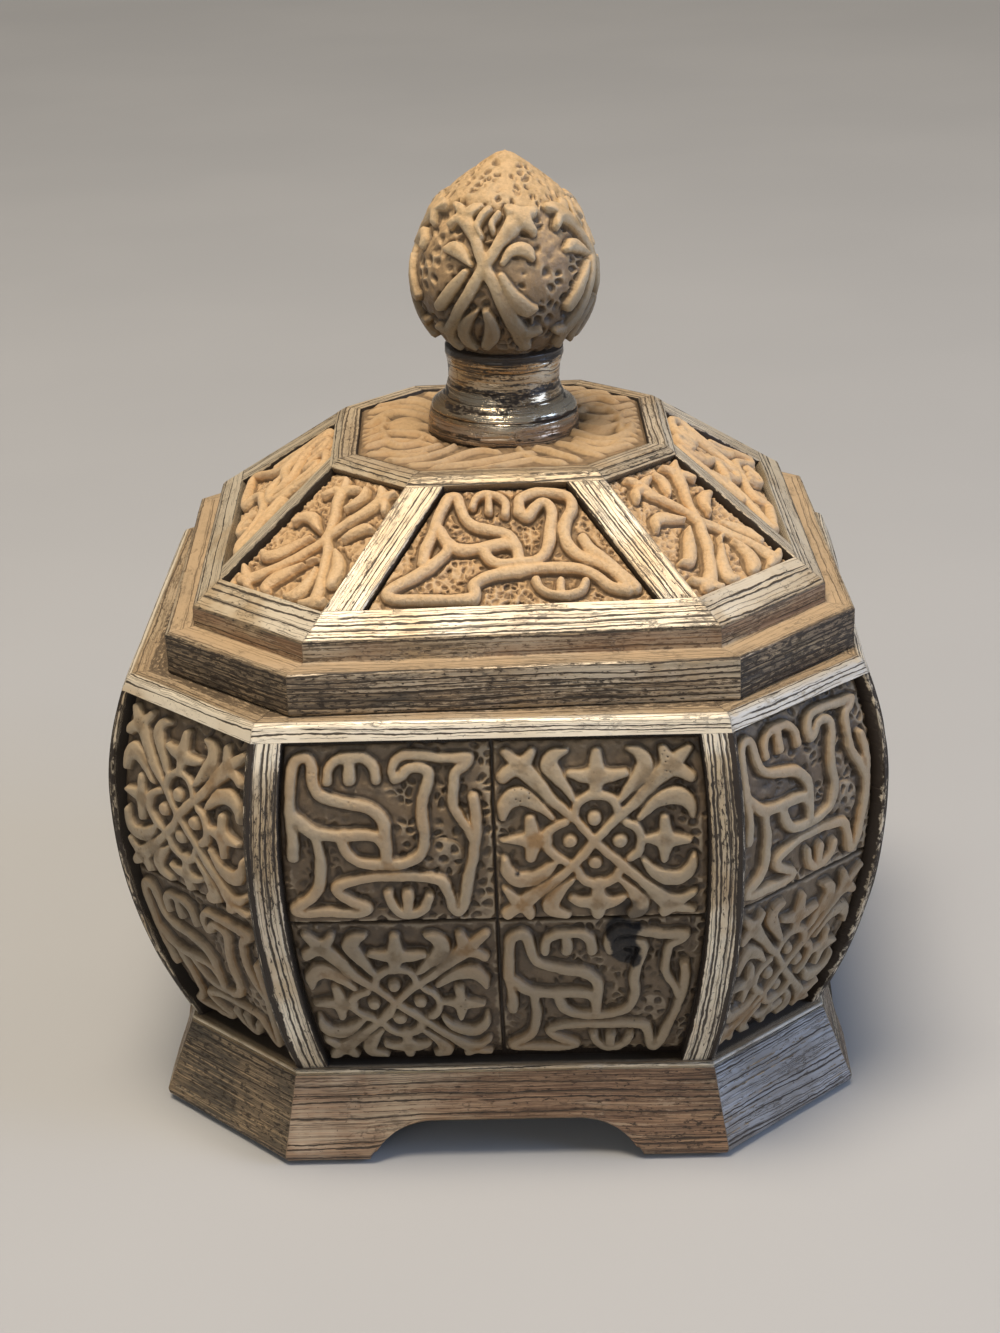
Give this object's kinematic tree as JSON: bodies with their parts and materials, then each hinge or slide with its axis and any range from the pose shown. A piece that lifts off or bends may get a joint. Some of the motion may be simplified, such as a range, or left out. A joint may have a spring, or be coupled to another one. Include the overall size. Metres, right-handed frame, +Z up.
{
  "type": "trinket box",
  "caption": "Eight-sided cast trinket box on a bracket foot, with relief panels, a loose lift-off lid and an egg-shaped knob.",
  "frame": {"origin": "centre of the foot's resting plane", "axes": "+Z up through the knob, wide sides facing +X, -X, +Y and -Y, the pictured front facing -Y"},
  "size_m": [0.1148, 0.1148, 0.1397],
  "materials": {
    "body_cast": "cast resin, ivory relief over a dark wash, worn silver leaf on the frame",
    "lid_cast": "cast resin, warm dusty relief, worn silver leaf on the bands",
    "knob_cast": "cast resin, ivory relief on a dark pewter and leafed neck"
  },
  "bodies": {
    "box": {"body": "body_cast"},
    "lid": {"lid": "lid_cast", "knob": "knob_cast"}
  },
  "joints": [
    {"name": "lid_lift", "type": "slide", "parent": "box", "child": "lid", "axis": [0, 0, 1], "range_m": [0, 0.08]}
  ]
}
